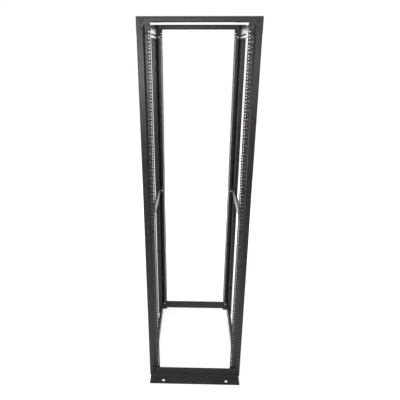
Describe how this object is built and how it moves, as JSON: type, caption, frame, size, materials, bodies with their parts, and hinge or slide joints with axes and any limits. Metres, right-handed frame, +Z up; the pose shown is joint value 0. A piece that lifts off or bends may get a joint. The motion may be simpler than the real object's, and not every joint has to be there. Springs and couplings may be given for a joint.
{
  "type": "four post open frame rack",
  "caption": "Tall open frame rack with perforated mounting rails at its corner posts, top bars, floor angles and open sides tied by channels.",
  "frame": {"origin": "on the floor at the middle of the rack's footprint", "axes": "+Z up, X across the rack, front towards -Y"},
  "size_m": [0.58, 0.855, 2.114],
  "materials": {
    "frame_paint": "satin black powder coat",
    "rail_paint": "satin black powder coat with bare hole rims"
  },
  "bodies": {
    "root": {"post_front_left": "frame_paint", "rail_front_left": "rail_paint", "post_front_right": "frame_paint", "rail_front_right": "rail_paint", "post_rear_left": "frame_paint", "rail_rear_left": "rail_paint", "post_rear_right": "frame_paint", "rail_rear_right": "rail_paint", "top_bar_front": "frame_paint", "floor_angle_front": "frame_paint", "top_bar_rear": "frame_paint", "floor_angle_rear": "frame_paint", "base_channel_left": "frame_paint", "base_channel_right": "frame_paint", "mid_brace_left": "frame_paint", "mid_brace_right": "frame_paint", "top_channel_left": "frame_paint", "top_channel_right": "frame_paint"}
  },
  "joints": []
}
